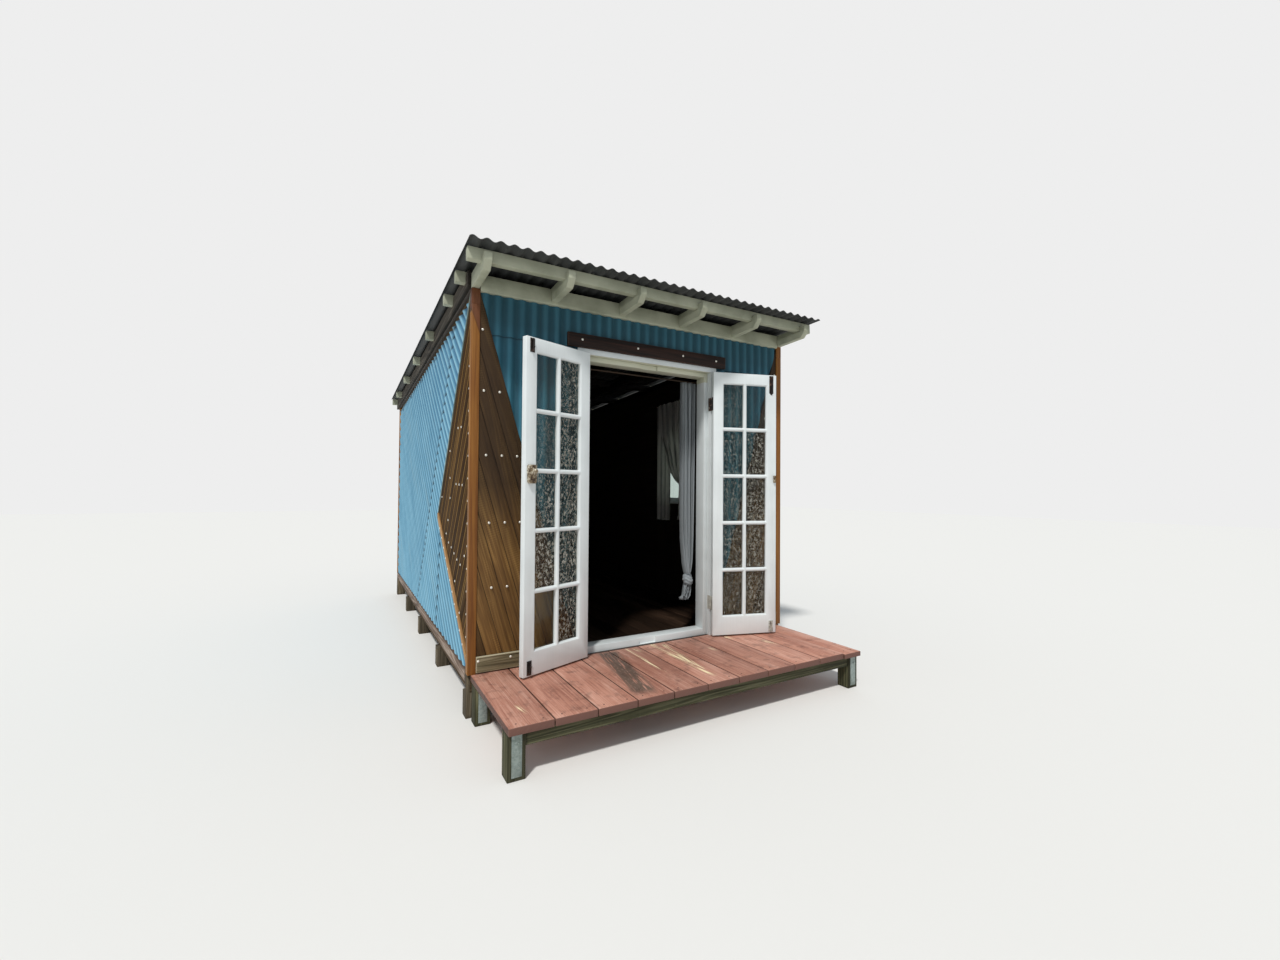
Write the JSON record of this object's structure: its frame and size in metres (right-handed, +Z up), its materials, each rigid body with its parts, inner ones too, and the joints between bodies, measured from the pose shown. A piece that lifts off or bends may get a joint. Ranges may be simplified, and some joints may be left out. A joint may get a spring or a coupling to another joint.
{
  "type": "garden office pod",
  "caption": "Timber framed garden room under a mono-pitch roof, clad in corrugated iron with timber fans at the front, glazed double doors and a small plank deck.",
  "frame": {"origin": "on the ground, at the middle of the bounding box in X and Y", "axes": "+X to the right as seen from the doors, +Y from the doors to the back wall, +Z up"},
  "size_m": [2.7052, 5.1772, 2.7304],
  "materials": {
    "sawn_stump": "rough sawn, weathered",
    "rough_timber": "rough sawn",
    "floor_board": "satin varnish",
    "orange_stain": "orange stain, worn",
    "dark_lining": "matt",
    "teal_iron": "matt paint, worn",
    "blue_iron": "matt paint, worn",
    "brown_boards": "oiled, weathered",
    "grey_trim": "weathered",
    "tan_batten": "worn stain",
    "weathered_plank": "weathered grey brown",
    "white_paint": "worn gloss paint",
    "red_brown_board": "dark stain",
    "black_iron": "black, rust in places",
    "clear_glass": "clear",
    "hammered_glass": "hammered",
    "rod_wood": "plain",
    "curtain_cloth": "thin woven cloth",
    "cream_paint": "old matt paint",
    "roof_iron": "weathered",
    "deck_stain": "red brown stain, worn",
    "treated_pine": "green treated",
    "galvanised_strap": "galvanised"
  },
  "bodies": {
    "building": {"stumps": "sawn_stump", "floor_bearers": "rough_timber", "floor_joists": "rough_timber", "floor_boards": "floor_board", "corner_posts": "orange_stain", "wall_plates": "rough_timber", "wall_studs": "rough_timber", "front_lining": "dark_lining", "left_lining": "dark_lining", "right_lining": "dark_lining", "back_lining": "dark_lining", "front_iron_upper": "teal_iron", "front_iron_lower": "teal_iron", "left_iron": "blue_iron", "right_iron": "blue_iron", "back_iron": "blue_iron", "front_fans": "brown_boards", "left_fan": "brown_boards", "right_fan": "brown_boards", "fan_upper_trims": "grey_trim", "fan_lower_trims": "tan_batten", "front_skirts": "weathered_plank", "wall_planks": "weathered_plank", "door_frame": "white_paint", "head_board": "red_brown_board", "jamb_hinges": "black_iron", "right_window_frame": "white_paint", "right_window_glass": "clear_glass", "curtain_rod": "rod_wood", "door_curtain": "curtain_cloth", "rafters": "cream_paint", "battens": "cream_paint", "roof_sheet": "roof_iron", "eave_boards": "cream_paint", "barge_boards": "weathered_plank", "deck_boards": "deck_stain", "deck_bearers": "treated_pine", "deck_posts": "treated_pine", "deck_straps": "galvanised_strap"},
    "left_door": {"left_leaf": "white_paint", "left_leaf_glass": "hammered_glass", "left_leaf_fittings": "black_iron"},
    "right_door": {"right_leaf": "white_paint", "right_leaf_glass": "hammered_glass", "right_leaf_fittings": "black_iron"}
  },
  "joints": [
    {"name": "left_door_hinge", "type": "hinge", "parent": "building", "child": "left_door", "pos_m": [-0.525, -1.79557, 0.26], "axis": [0, 0, -1], "range_deg": [-160, 12]},
    {"name": "right_door_hinge", "type": "hinge", "parent": "building", "child": "right_door", "pos_m": [0.525, -1.79557, 0.26], "axis": [0, 0, 1], "range_deg": [-163, 9]}
  ]
}
